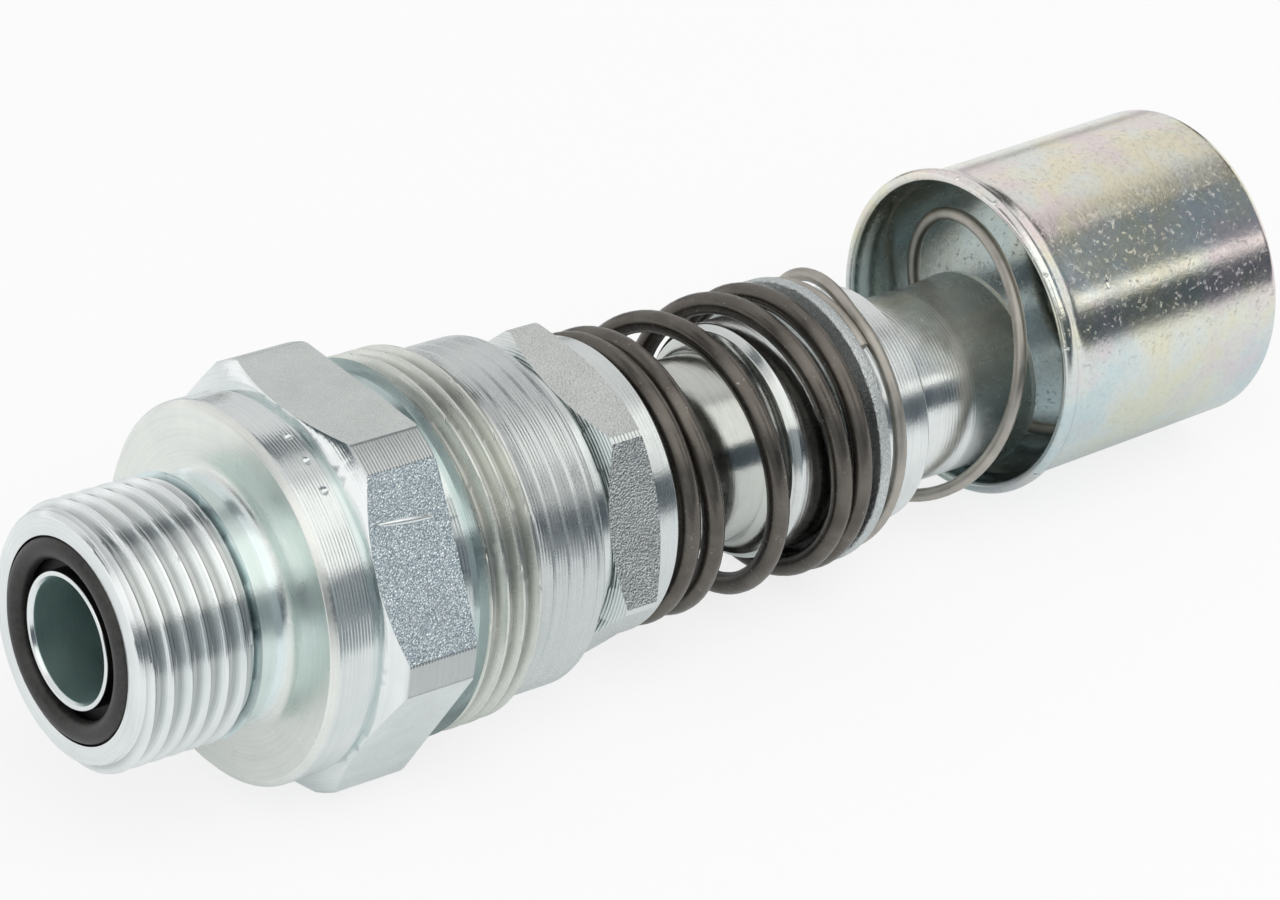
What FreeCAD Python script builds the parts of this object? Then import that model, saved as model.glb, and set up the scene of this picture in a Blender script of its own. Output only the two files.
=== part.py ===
import FreeCAD, Part
import math
import os

# A spring-loaded plug-in half of a multiple hydraulic coupling, in millimetres.
# X runs along the axis from the port face to the nose, and Z is up. The origin is the
# centre of the port face. The part lies on a flat of its large hexagon.
# Threads are drawn plain, at their pitch diameter.

# Port end: a face-seal stud with a through bore
port_bore_d = 9.5
face_lip_wall = 0.55
face_ring_wire = 1.78
face_ring_room = 0.87
face_ring_proud = 0.38
port_wall = 1.85
port_thread_len = 9.4
port_chamfer = 0.5
port_relief_depth = 0.55
port_relief_len = 2.5
port_fillet = 1.4

# Sliding stem: a hollow rod with a collar, a neck and a head
stem_bore_d = 9.0
stem_wall = 3.2
stem_tail = 1.8
stem_travel = 8.0
stem_end_room = 0.9
stop_ring_len = 1.2
stop_ring_height = 1.5
stop_ring_depth = 0.7
stop_ring_gap_angle = 40.0
stop_gap = 0.1
collar_step = 1.95
collar_rear_len = 6.9
collar_fillet = 1.7
collar_edge = 0.5
washer_step = 0.25
washer_len = 1.1
collar_front_len = 6.0
collar_chamfer = 0.4
neck_wall = 2.7
neck_len = 6.8
flare_len = 5.6
flare_height = 0.35
flare_bulge = -0.15
head_rim_len = 0.7

# Guide nut, screwed into the adapter, and the rings that guide and seal the rod in it
nut_wall = 3.25
nut_thread_len = 12.0
nut_face_gap = 0.1
nut_face_len = 1.7
nut_shoulder = 1.0
nut_chamfer = 0.6
nut_corner_height = 1.7
nut_hex_len = 4.8
nut_chamfer_angle = 30.0
nut_turn_angle = 12.0
nut_boss_len = 2.1
nut_boss_chamfer = 0.3
nut_seal_wire = 1.5
rod_seal_wire = 1.9
rod_backup_len = 1.4
rod_seal_inset = 3.4
rod_guide_len = 4.0
rod_guide_wall = 1.2
rod_guide_inset = 10.4
rod_wiper_len = 1.6
rod_wiper_wall = 1.3
rod_wiper_inset = 1.0
rod_wiper_lip = 0.5

# Pilot, plate thread, large hexagon and flange of the adapter
pilot_wall = 1.46
pilot_len = 6.5
pilot_chamfer = 0.5
chamber_room = 0.6
chamber_cone_len = 2.5
plate_thread_height = 0.5
plate_thread_len = 5.5
plate_thread_chamfer = 0.8
plate_relief_depth = 0.15
plate_relief_len = 2.5
hex_shoulder = 0.65
hex_corner_height = 1.6
hex_len = 7.4
hex_chamfer_angle = 36.0
flange_step = 0.25
flange_len = 3.6
flange_chamfer = 0.5
flange_groove_len = 0.7
flange_groove_depth = 0.7

# Compensating spring between the nut and the washer
main_spring_wire = 1.8
main_spring_room = 0.55
main_spring_len = 20.7
main_spring_end_turns = 1.25
main_spring_turns = 4.66
main_spring_start_angle = 42.0
washer_inset = 0.2

# Guard sleeve, which hangs on its own light spring and lies on the head of the stem
guard_spring_wire = 1.1
guard_spring_room = 0.5
guard_spring_end_turns = 1.05
guard_spring_turns = 4.43
guard_spring_start_angle = 122.0
guard_spring_play = 0.1
guard_spring_waist = 0.6
guard_spring_follow = 0.3
guard_spring_widens_from = 0.6
sleeve_room = 0.7
sleeve_wall = 1.0
sleeve_len = 24.4
sleeve_rim_height = 0.6
sleeve_rim_len = 2.0
sleeve_flare_bulge = 0.5
sleeve_rim_setback = 2.5
sleeve_lip_height = 1.2
sleeve_lip_edge = 0.6
sleeve_rest_gap = 0.3
sleeve_tilt = 2.3

# Nose with its shut-off valve, screwed into the head
nose_shank_step = 0.5
nose_shank_len = 22.6
nose_shoulder = 0.9
nose_len = 1.2
nose_chamfer = 0.4
nose_pin_hole_d = 1.2
nose_pin_hole_depth = 0.8
nose_wall = 1.2
nose_seal_wire = 1.2
seat_step = 1.1
seat_land_len = 2.8
seat_angle = 38.0
poppet_room = 0.5
poppet_seat_gap = 0.1
poppet_back_len = 1.9
poppet_tip_play = 0.4
poppet_tip_inset = 0.3
poppet_rod_d = 2.8
poppet_rod_overhang = 0.5
poppet_travel = 4.0
poppet_end_room = 0.1
poppet_seal_wire = 0.9
guide_len = 2.0
guide_hub_wall = 1.0
guide_spokes = 3
guide_spoke_w = 1.6
guide_rod_play = 0.1
clip_len = 0.8
clip_depth = 0.5
clip_height = 0.8
valve_spring_room = 0.8
valve_spring_wire = 0.5
valve_spring_turns = 6.5
valve_spring_end_turns = 1.0

# Clearances that several fits share
thread_play = 0.05
rod_play = 0.05
ring_play = 0.03
seat_play = 0.02

# How finely a coiled wire is drawn
coil_steps = 16
wire_sides = 12
closed_pitch = 1.03
tangent_step = 0.006

# Diameters, from the bores outwards
face_lip_d = port_bore_d + 2 * face_lip_wall
face_groove_d = face_lip_d + 2 * (face_ring_wire + face_ring_room)
port_thread_d = face_groove_d + 2 * port_wall
rod_d = stem_bore_d + 2 * stem_wall
rod_r = rod_d / 2
stop_ring_d = rod_d + 2 * stop_ring_height
chamber_d = stop_ring_d + 2 * chamber_room
collar_rear_d = rod_d + 2 * collar_step
collar_front_d = collar_rear_d + 2 * washer_step
nut_bore_r = rod_r + rod_play
nut_thread_d = 2 * (nut_bore_r + nut_wall)
nut_across_flats = nut_thread_d + 2 * nut_shoulder
nut_turned_d = nut_across_flats + 2 * nut_corner_height
nut_seal_recess_d = nut_thread_d + 2 * (nut_seal_wire + 2 * seat_play)
pilot_d = nut_seal_recess_d + 2 * pilot_wall
plate_thread_d = pilot_d + 2 * plate_thread_height
plate_relief_d = pilot_d - 2 * plate_relief_depth
hex_across_flats = plate_thread_d + 2 * hex_shoulder
hex_turned_d = hex_across_flats + 2 * hex_corner_height
flange_d = hex_across_flats - 2 * flange_step
main_spring_d = collar_rear_d + 2 * (main_spring_room + main_spring_wire)
washer_d = main_spring_d - 2 * washer_inset
guard_spring_d = collar_front_d + 2 * (guard_spring_room + guard_spring_wire)
sleeve_inner_r = guard_spring_d / 2 + sleeve_room
sleeve_d = 2 * (sleeve_inner_r + sleeve_wall)
nose_shank_d = stem_bore_d + 2 * nose_shank_step
nose_d = nose_shank_d + 2 * nose_shoulder
nose_bore_r = nose_shank_d / 2 - nose_wall
neck_d = nose_shank_d + 2 * (thread_play + neck_wall)
head_d = neck_d + 2 * flare_height
seat_hole_d = 2 * (nose_bore_r - seat_step)
poppet_d = 2 * (nose_bore_r - poppet_room)

# Where each piece begins along X
flange_x = port_thread_len + port_relief_len + port_fillet
hex_x = flange_x + flange_len + flange_groove_len
hex_end_x = hex_x + hex_len
plate_thread_x = hex_end_x + plate_relief_len
pilot_x = plate_thread_x + plate_thread_len
adapter_end_x = pilot_x + pilot_len
nut_face_x = adapter_end_x + nut_face_gap
nut_rear_x = adapter_end_x - nut_thread_len
nut_hex_x = nut_face_x + nut_face_len
nut_boss_x = nut_hex_x + nut_hex_len
nut_end_x = nut_boss_x + nut_boss_len
stop_ring_x = nut_rear_x - stop_gap - stop_ring_len
stem_x = stop_ring_x - stem_tail
chamber_x = stem_x - stem_travel - stem_end_room
washer_x = nut_end_x + main_spring_len
collar_front_x = washer_x + washer_len
collar_rear_x = washer_x - collar_rear_len
neck_x = collar_front_x + collar_front_len
flare_x = neck_x + neck_len
head_rim_x = flare_x + flare_len
head_end_x = head_rim_x + head_rim_len
nose_x = head_end_x + seat_play
nose_end_x = nose_x + nose_len
nose_rear_x = nose_x - nose_shank_len
guide_x = nose_rear_x + poppet_travel + poppet_rod_overhang + poppet_end_room
clip_x = guide_x - seat_play - clip_len
sleeve_rim_x = head_end_x - sleeve_rim_setback

# Where the rod's rings sit in the nut
rod_seal_x = nut_rear_x + rod_seal_inset
rod_seal_room = rod_seal_wire + 2 * seat_play
rod_groove_r = nut_bore_r + rod_seal_wire + ring_play
rod_guide_x = nut_rear_x + rod_guide_inset
rod_wiper_x = nut_end_x - rod_wiper_inset - rod_wiper_len

# Where the poppet sits on its seat
seat_slope = math.tan(math.radians(seat_angle))
seat_end_x = nose_end_x - seat_land_len
seat_x = seat_end_x - (nose_bore_r - seat_hole_d / 2) / seat_slope
poppet_shift = poppet_seat_gap / math.sin(math.radians(seat_angle))
poppet_tip_r = seat_hole_d / 2 - poppet_tip_play
poppet_shoulder_x = seat_x + (nose_bore_r - poppet_d / 2) / seat_slope - poppet_shift
poppet_back_x = poppet_shoulder_x - poppet_back_len
poppet_seal_x = poppet_shoulder_x - poppet_seal_wire / 2 - seat_play
poppet_seal_r = poppet_d / 2 - poppet_seal_wire / 2

# The sleeve drops until its wall lies on the head, so its axis is above the stem's there
sleeve_lift = sleeve_inner_r - head_d / 2 - sleeve_rest_gap
sleeve_slope = math.tan(math.radians(sleeve_tilt))

full_turn = 2 * math.pi
quarter_arc_rise = (math.sqrt(2) - 1) / 2


def vector(x, y, z):
    return FreeCAD.Vector(x, y, z)


axis_x = vector(1, 0, 0)
origin = vector(0, 0, 0)


def lathe(outline):
    """Turn an outline of (x, radius) points about X. A third value makes the edge that leads
    to the point a round one: it bulges to the left of its travel by that share of a quarter
    circle, so on an outside that runs along +X a positive share is convex."""
    points = [vector(p[0], p[1], 0) for p in outline]
    edges = []
    count = len(points)
    for i in range(count):
        start, end = points[i], points[(i + 1) % count]
        if start.distanceToPoint(end) < 1e-7:
            continue
        bulge = outline[(i + 1) % count][2] if len(outline[(i + 1) % count]) > 2 else 0
        if bulge:
            chord = end - start
            side = vector(-chord.y, chord.x, 0)
            middle = (start + end) * 0.5 + side * (quarter_arc_rise * bulge)
            edges.append(Part.Arc(start, middle, end).toShape())
        else:
            edges.append(Part.LineSegment(start, end).toShape())
    face = Part.Face(Part.Wire(edges))
    return face.revolve(origin, axis_x, 360)


def tube(x, length, outer_r, inner_r):
    return lathe([(x, inner_r), (x, outer_r), (x + length, outer_r), (x + length, inner_r)])


def rod(x, length, radius):
    return Part.makeCylinder(radius, length, vector(x, 0, 0), axis_x)


def torus_ring(x, centre_r, wire):
    return Part.makeTorus(centre_r, wire / 2, vector(x, 0, 0), axis_x)


def hexagon(x, length, across_flats, turn):
    """A hexagonal prism along X with one flat facing +Z before it is turned."""
    corner_r = across_flats / math.sqrt(3)
    corners = []
    for i in range(7):
        a = math.radians(60 * i + turn)
        corners.append(vector(x, corner_r * math.cos(a), corner_r * math.sin(a)))
    return Part.Face(Part.makePolygon(corners)).extrude(axis_x * length)


def turned_hexagon(x, length, across_flats, turned_d, chamfer_angle, turn, both_ends):
    """A hexagon with its corners turned to a diameter and its ends chamfered."""
    flat_r = across_flats / 2
    turned_r = turned_d / 2
    rise = (turned_r - flat_r) * math.tan(math.radians(chamfer_angle))
    end_r = flat_r if both_ends else turned_r
    end_rise = rise if both_ends else 0
    blank = lathe(
        [
            (x, 0),
            (x, flat_r),
            (x + rise, turned_r),
            (x + length - end_rise, turned_r),
            (x + length, end_r),
            (x + length, 0),
        ]
    )
    return hexagon(x, length, across_flats, turn).common(blank)


def coil(path, wire):
    """A wire of round section along a list of (centre, outward direction, tangent)."""
    rings = []
    for centre, outward, tangent in path:
        across = tangent.cross(outward)
        across.normalize()
        out = across.cross(tangent)
        out.normalize()
        corners = []
        for k in range(wire_sides + 1):
            a = full_turn * k / wire_sides
            corners.append(centre + out * (wire / 2 * math.cos(a)) + across * (wire / 2 * math.sin(a)))
        corners[-1] = corners[0]
        rings.append(Part.makePolygon(corners))
    return Part.makeLoft(rings, True, True)


def spring_travel(turn, turns, end_turns, end_pitch, length):
    """Distance along the axis at a turn: closed turns at both ends, open ones between."""
    open_pitch = (length - 2 * end_turns * end_pitch) / (turns - 2 * end_turns)
    if turn < end_turns:
        return turn * end_pitch
    if turn > turns - end_turns:
        return length - (turns - turn) * end_pitch
    return end_turns * end_pitch + (turn - end_turns) * open_pitch


def spring_path(spec, centre_at, radius_at):
    """Points of a coil. spec is (start x, length, turns, end turns, wire, start angle, hand)."""
    start_x, length, turns, end_turns, wire, start_angle, hand = spec
    end_pitch = wire * closed_pitch
    steps = int(round(turns * coil_steps))

    def point(turn):
        x = start_x + wire / 2 + spring_travel(turn, turns, end_turns, end_pitch, length - wire)
        a = math.radians(start_angle) + hand * full_turn * turn
        outward = vector(0, math.cos(a), math.sin(a))
        return centre_at(x) + outward * radius_at(turn / turns), outward

    path = []
    for i in range(steps + 1):
        turn = turns * i / steps
        here, outward = point(turn)
        before = point(max(turn - tangent_step, 0))[0]
        after = point(min(turn + tangent_step, turns))[0]
        path.append((here, outward, after - before))
    return path


def make_adapter():
    port_r = port_thread_d / 2
    relief_r = port_r - port_relief_depth
    flange_r = flange_d / 2
    groove_r = flange_r - flange_groove_depth
    groove_x = flange_x + flange_len
    plate_r = plate_thread_d / 2
    pilot_r = pilot_d / 2
    plate_relief_r = plate_relief_d / 2
    body = lathe(
        [
            (0, 0),
            (0, port_r - port_chamfer),
            (port_chamfer, port_r),
            (port_thread_len, port_r),
            (port_thread_len + (port_r - relief_r), relief_r),
            (flange_x - port_fillet, relief_r),
            (flange_x, relief_r + port_fillet, -1),
            (flange_x, flange_r - flange_chamfer),
            (flange_x + flange_chamfer, flange_r),
            (groove_x, flange_r),
            (groove_x + flange_groove_len / 2, groove_r, -1),
            (hex_x, groove_r),
            (hex_end_x, groove_r),
            (hex_end_x, plate_relief_r),
            (plate_thread_x, plate_relief_r),
            (plate_thread_x + plate_thread_chamfer, plate_r),
            (pilot_x - plate_thread_chamfer, plate_r),
            (pilot_x, pilot_r),
            (adapter_end_x - pilot_chamfer, pilot_r),
            (adapter_end_x, pilot_r - pilot_chamfer),
            (adapter_end_x, 0),
        ]
    )
    hexagon_body = turned_hexagon(
        hex_x, hex_len, hex_across_flats, hex_turned_d, hex_chamfer_angle, 0, False
    )
    chamber_r = chamber_d / 2
    thread_r = nut_thread_d / 2 + thread_play
    recess_x = adapter_end_x - nut_seal_wire - 2 * seat_play
    hollow = lathe(
        [
            (0, 0),
            (0, port_bore_d / 2),
            (chamber_x - chamber_cone_len, port_bore_d / 2),
            (chamber_x, chamber_r),
            (nut_rear_x, chamber_r),
            (nut_rear_x, thread_r),
            (recess_x, thread_r),
            (recess_x, nut_seal_recess_d / 2),
            (adapter_end_x, nut_seal_recess_d / 2),
            (adapter_end_x, 0),
        ]
    )
    face_groove = tube(0, face_ring_wire - face_ring_proud, face_groove_d / 2, face_lip_d / 2)
    return body.fuse(hexagon_body).cut(hollow).cut(face_groove).removeSplitter()


def make_face_seal():
    centre_r = face_groove_d / 2 - face_ring_wire / 2 - seat_play
    return torus_ring(face_ring_wire / 2 - face_ring_proud - seat_play, centre_r, face_ring_wire)


def make_guide_nut():
    boss_r = nut_across_flats / 2
    body = lathe(
        [
            (nut_rear_x, 0),
            (nut_rear_x, nut_thread_d / 2 - nut_chamfer),
            (nut_rear_x + nut_chamfer, nut_thread_d / 2),
            (nut_face_x, nut_thread_d / 2),
            (nut_face_x, boss_r - nut_chamfer),
            (nut_face_x + nut_chamfer, boss_r),
            (nut_end_x - nut_boss_chamfer, boss_r),
            (nut_end_x, boss_r - nut_boss_chamfer),
            (nut_end_x, 0),
        ]
    )
    corners = turned_hexagon(
        nut_hex_x,
        nut_hex_len,
        nut_across_flats,
        nut_turned_d,
        nut_chamfer_angle,
        nut_turn_angle,
        True,
    )
    bore = rod(nut_rear_x, nut_end_x - nut_rear_x, nut_bore_r)
    seal_groove = rod(rod_seal_x, rod_seal_room + rod_backup_len + seat_play, rod_groove_r)
    guide_groove = rod(rod_guide_x, rod_guide_len + 2 * seat_play, nut_bore_r + rod_guide_wall)
    wiper_groove = rod(rod_wiper_x, rod_wiper_len + 2 * seat_play, nut_bore_r + rod_wiper_wall)
    nut = body.fuse(corners)
    for hollow in (bore, seal_groove, guide_groove, wiper_groove):
        nut = nut.cut(hollow)
    return nut.removeSplitter()


def make_nut_seal():
    centre_r = nut_thread_d / 2 + nut_seal_wire / 2 + seat_play
    return torus_ring(adapter_end_x - nut_seal_wire / 2 - seat_play, centre_r, nut_seal_wire)


def make_rod_seal():
    centre_r = rod_r + rod_play + rod_seal_wire / 2
    return torus_ring(rod_seal_x + rod_seal_room / 2, centre_r, rod_seal_wire)


def make_backup_ring():
    return tube(rod_seal_x + rod_seal_room, rod_backup_len, rod_groove_r - ring_play, nut_bore_r)


def make_guide_ring():
    outer_r = nut_bore_r + rod_guide_wall - ring_play
    return tube(rod_guide_x + seat_play, rod_guide_len, outer_r, rod_r + ring_play)


def make_wiper():
    outer_r = nut_bore_r + rod_wiper_wall - ring_play
    inner_r = rod_r + ring_play
    x = rod_wiper_x + seat_play
    end_x = x + rod_wiper_len
    return lathe([(x, inner_r + rod_wiper_lip), (x, outer_r), (end_x, outer_r), (end_x, inner_r)])


def make_stem():
    collar_rear_r = collar_rear_d / 2
    collar_front_r = collar_front_d / 2
    neck_r = neck_d / 2
    head_r = head_d / 2
    groove_r = rod_r - stop_ring_depth
    fillet_x = collar_rear_x - collar_fillet
    body = lathe(
        [
            (stem_x, 0),
            (stem_x, rod_r - collar_edge),
            (stem_x + collar_edge, rod_r),
            (stop_ring_x - seat_play, rod_r),
            (stop_ring_x - seat_play, groove_r),
            (stop_ring_x + stop_ring_len + seat_play, groove_r),
            (stop_ring_x + stop_ring_len + seat_play, rod_r),
            (fillet_x, rod_r),
            (collar_rear_x, min(rod_r + collar_fillet, collar_rear_r - collar_edge), -1),
            (collar_rear_x, collar_rear_r - collar_edge),
            (collar_rear_x + collar_edge, collar_rear_r, 1),
            (collar_front_x, collar_rear_r),
            (collar_front_x, collar_front_r),
            (neck_x - collar_chamfer, collar_front_r),
            (neck_x, collar_front_r - collar_chamfer),
            (neck_x, neck_r),
            (flare_x, neck_r),
            (head_rim_x, head_r, flare_bulge),
            (head_end_x, head_r),
            (head_end_x, 0),
        ]
    )
    socket_r = nose_shank_d / 2 + thread_play
    seal_r = nose_shank_d / 2 + nose_seal_wire + 2 * seat_play
    seal_room = nose_seal_wire + 2 * seat_play
    hollow = lathe(
        [
            (stem_x, 0),
            (stem_x, stem_bore_d / 2),
            (nose_rear_x - seat_play, stem_bore_d / 2),
            (nose_rear_x - seat_play, socket_r),
            (head_end_x - seal_room, socket_r),
            (head_end_x - seal_room, seal_r),
            (head_end_x, seal_r),
            (head_end_x, 0),
        ]
    )
    return body.cut(hollow)


def make_stop_ring():
    inner_r = rod_r - stop_ring_depth + ring_play
    ring = tube(stop_ring_x, stop_ring_len, stop_ring_d / 2, inner_r)
    gap_w = stop_ring_d * math.sin(math.radians(stop_ring_gap_angle / 2))
    gap = Part.makeBox(
        stop_ring_len, gap_w, stop_ring_d / 2, vector(stop_ring_x, -gap_w / 2, -stop_ring_d / 2)
    )
    return ring.cut(gap)


def make_washer():
    return tube(washer_x, washer_len - seat_play, washer_d / 2, collar_rear_d / 2 + rod_play)


def make_main_spring():
    spec = (
        nut_end_x + seat_play,
        main_spring_len - 2 * seat_play,
        main_spring_turns,
        main_spring_end_turns,
        main_spring_wire,
        main_spring_start_angle,
        1,
    )
    radius = (main_spring_d - main_spring_wire) / 2
    path = spring_path(spec, lambda x: vector(x, 0, 0), lambda share: radius)
    return coil(path, main_spring_wire)


def sleeve_axis_z(x):
    return sleeve_lift + (x - head_end_x) * sleeve_slope


def make_sleeve():
    outer_r = sleeve_d / 2
    rim_r = outer_r + sleeve_rim_height
    lip_r = sleeve_inner_r - sleeve_lip_height
    half_wall = sleeve_wall / 2
    shell = lathe(
        [
            (0, rim_r - half_wall, 1),
            (half_wall, rim_r, 1),
            (sleeve_rim_len, outer_r, -sleeve_flare_bulge),
            (sleeve_len - sleeve_lip_edge, outer_r),
            (sleeve_len, outer_r - sleeve_lip_edge, 1),
            (sleeve_len, lip_r),
            (sleeve_len - sleeve_wall, lip_r),
            (sleeve_len - sleeve_wall, sleeve_inner_r),
            (sleeve_rim_len, sleeve_inner_r),
            (half_wall, rim_r - sleeve_wall, sleeve_flare_bulge),
        ]
    )
    shell.translate(vector(sleeve_rim_x - head_end_x, 0, 0))
    shell.rotate(origin, vector(0, 1, 0), -sleeve_tilt)
    shell.translate(vector(head_end_x, 0, sleeve_lift))
    return shell


def make_guard_spring():
    start_x = collar_front_x + seat_play
    lip_x = sleeve_rim_x + sleeve_len - sleeve_wall
    end_x = lip_x - sleeve_slope * sleeve_inner_r - 2 * seat_play
    follow_x = head_end_x + guard_spring_follow * guard_spring_d
    first_r = (guard_spring_d - guard_spring_wire) / 2
    last_r = sleeve_inner_r - guard_spring_play - guard_spring_wire / 2

    def centre_at(x):
        share = min(1.0, max(0.0, (x - start_x) / (follow_x - start_x)))
        return vector(x, 0, sleeve_axis_z(x) * share)

    def radius_at(share):
        closed = guard_spring_end_turns / guard_spring_turns
        along = (share - closed) / (guard_spring_widens_from - closed)
        waist = guard_spring_waist * math.sin(math.pi * min(1.0, max(0.0, along)))
        opening = max(0.0, (share - guard_spring_widens_from) / (1 - guard_spring_widens_from))
        return first_r + (last_r - first_r) * opening - waist

    spec = (
        start_x,
        end_x - start_x,
        guard_spring_turns,
        guard_spring_end_turns,
        guard_spring_wire,
        guard_spring_start_angle,
        -1,
    )
    return coil(spring_path(spec, centre_at, radius_at), guard_spring_wire)


def make_nose():
    nose_r = nose_d / 2
    shank_r = nose_shank_d / 2
    body = lathe(
        [
            (nose_rear_x, 0),
            (nose_rear_x, shank_r - nose_chamfer),
            (nose_rear_x + nose_chamfer, shank_r),
            (nose_x, shank_r),
            (nose_x, nose_r),
            (nose_end_x - nose_chamfer, nose_r),
            (nose_end_x, nose_r - nose_chamfer),
            (nose_end_x, 0),
        ]
    )
    hollow = lathe(
        [
            (nose_rear_x, 0),
            (nose_rear_x, nose_bore_r),
            (clip_x - seat_play, nose_bore_r),
            (clip_x - seat_play, nose_bore_r + clip_depth),
            (guide_x, nose_bore_r + clip_depth),
            (guide_x, nose_bore_r),
            (seat_x, nose_bore_r),
            (seat_end_x, seat_hole_d / 2),
            (nose_end_x, seat_hole_d / 2),
            (nose_end_x, 0),
        ]
    )
    nose = body.cut(hollow)
    hole_x = nose_end_x - nose_pin_hole_depth
    hole_y = (seat_hole_d / 2 + nose_r) / 2
    for side in (-1, 1):
        start = vector(hole_x, side * hole_y, 0)
        nose = nose.cut(Part.makeCylinder(nose_pin_hole_d / 2, nose_pin_hole_depth, start, axis_x))
    return nose


def make_nose_seal():
    centre_r = nose_shank_d / 2 + nose_seal_wire / 2 + seat_play
    return torus_ring(head_end_x - nose_seal_wire / 2 - seat_play, centre_r, nose_seal_wire)


def make_poppet():
    cone_end_x = poppet_shoulder_x + (poppet_d / 2 - poppet_tip_r) / seat_slope
    rod_x = guide_x - poppet_rod_overhang
    tip_x = nose_end_x - poppet_tip_inset
    groove_r = poppet_seal_r - poppet_seal_wire / 2
    half_room = poppet_seal_wire / 2 + seat_play
    return lathe(
        [
            (rod_x, 0),
            (rod_x, poppet_rod_d / 2),
            (poppet_back_x, poppet_rod_d / 2),
            (poppet_back_x, poppet_d / 2),
            (poppet_seal_x - half_room, poppet_d / 2),
            (poppet_seal_x - half_room, groove_r - seat_play),
            (poppet_seal_x + half_room, groove_r - seat_play),
            (poppet_seal_x + half_room, poppet_d / 2),
            (cone_end_x, poppet_tip_r),
            (tip_x, poppet_tip_r),
            (tip_x, 0),
        ]
    )


def make_poppet_seal():
    return torus_ring(poppet_seal_x, poppet_seal_r, poppet_seal_wire)


def make_valve_guide():
    rim_r = nose_bore_r - ring_play
    hole_r = poppet_rod_d / 2 + guide_rod_play
    spider = rod(guide_x, guide_len, hole_r + guide_hub_wall)
    for i in range(guide_spokes):
        spoke = Part.makeBox(
            guide_len, guide_spoke_w, rim_r, vector(guide_x, -guide_spoke_w / 2, 0)
        )
        spoke.rotate(origin, axis_x, 360 * i / guide_spokes)
        spider = spider.fuse(spoke)
    return spider.common(rod(guide_x, guide_len, rim_r)).cut(rod(guide_x, guide_len, hole_r))


def make_guide_clip():
    return tube(clip_x, clip_len, nose_bore_r + clip_depth - ring_play, nose_bore_r - clip_height)


def make_valve_spring():
    start_x = guide_x + guide_len + seat_play
    spec = (
        start_x,
        poppet_back_x - seat_play - start_x,
        valve_spring_turns,
        valve_spring_end_turns,
        valve_spring_wire,
        0,
        1,
    )
    radius = nose_bore_r - valve_spring_room - valve_spring_wire / 2
    path = spring_path(spec, lambda x: vector(x, 0, 0), lambda share: radius)
    return coil(path, valve_spring_wire)


pieces = {
    "adapter_body": make_adapter,
    "face_seal_ring": make_face_seal,
    "guide_nut": make_guide_nut,
    "guide_nut_seal": make_nut_seal,
    "rod_seal": make_rod_seal,
    "rod_backup_ring": make_backup_ring,
    "rod_guide_ring": make_guide_ring,
    "rod_wiper": make_wiper,
    "compensating_spring": make_main_spring,
    "stem": make_stem,
    "stop_ring": make_stop_ring,
    "spring_washer": make_washer,
    "guard_spring": make_guard_spring,
    "nose_piece": make_nose,
    "nose_seal": make_nose_seal,
    "valve_guide": make_valve_guide,
    "valve_guide_clip": make_guide_clip,
    "valve_spring": make_valve_spring,
    "poppet": make_poppet,
    "poppet_seal": make_poppet_seal,
    "guard_sleeve": make_sleeve,
}

os.makedirs("parts", exist_ok=True)
for name, make in pieces.items():
    make().exportStep("parts/" + name + ".step")
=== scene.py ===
import math
import bpy
from mathutils import Matrix, Vector


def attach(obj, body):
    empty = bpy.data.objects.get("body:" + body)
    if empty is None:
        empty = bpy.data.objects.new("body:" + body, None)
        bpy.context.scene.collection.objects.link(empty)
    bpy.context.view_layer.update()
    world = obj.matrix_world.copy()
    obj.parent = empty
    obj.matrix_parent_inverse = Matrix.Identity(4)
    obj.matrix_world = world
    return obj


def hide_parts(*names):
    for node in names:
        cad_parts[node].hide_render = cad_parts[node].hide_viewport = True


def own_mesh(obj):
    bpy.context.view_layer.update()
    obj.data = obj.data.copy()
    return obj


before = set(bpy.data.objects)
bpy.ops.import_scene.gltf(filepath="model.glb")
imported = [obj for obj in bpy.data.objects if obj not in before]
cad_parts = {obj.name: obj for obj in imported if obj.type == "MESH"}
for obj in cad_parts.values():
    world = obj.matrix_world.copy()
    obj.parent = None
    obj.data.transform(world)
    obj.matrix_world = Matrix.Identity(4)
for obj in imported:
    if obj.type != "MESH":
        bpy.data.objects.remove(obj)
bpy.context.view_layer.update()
bpy.ops.object.select_all(action="DESELECT")

# Lengths are in millimetres until a piece is made. X is the axis, angles turn from +Y to +Z.
MM = 0.001
RING_SEGMENTS = 192
ROUND_STEPS, LONGEST_ROUND = 4, 0.48
FULL_TURN = 2 * math.pi

# Threads: a 13/16-16 stud and an M30x1.5 plate thread
STUD_PITCH, STUD_MAJOR, STUD_MINOR = 1.5875, 10.3, 9.42
STUD_START, STUD_END = 0.0, 10.2
PLATE_PITCH, PLATE_MAJOR, PLATE_MINOR = 1.5, 14.9, 14.02
PLATE_START, PLATE_END = 27.4, 33.1
THREAD_STEPS = 16
THREAD_FLAT = 0.125
ROOT_ROUND = 0.18
BELOW_ROOT = 0.05
CREST_SHARE = math.sqrt(1 + ROOT_ROUND * ROOT_ROUND) - ROOT_ROUND

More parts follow.
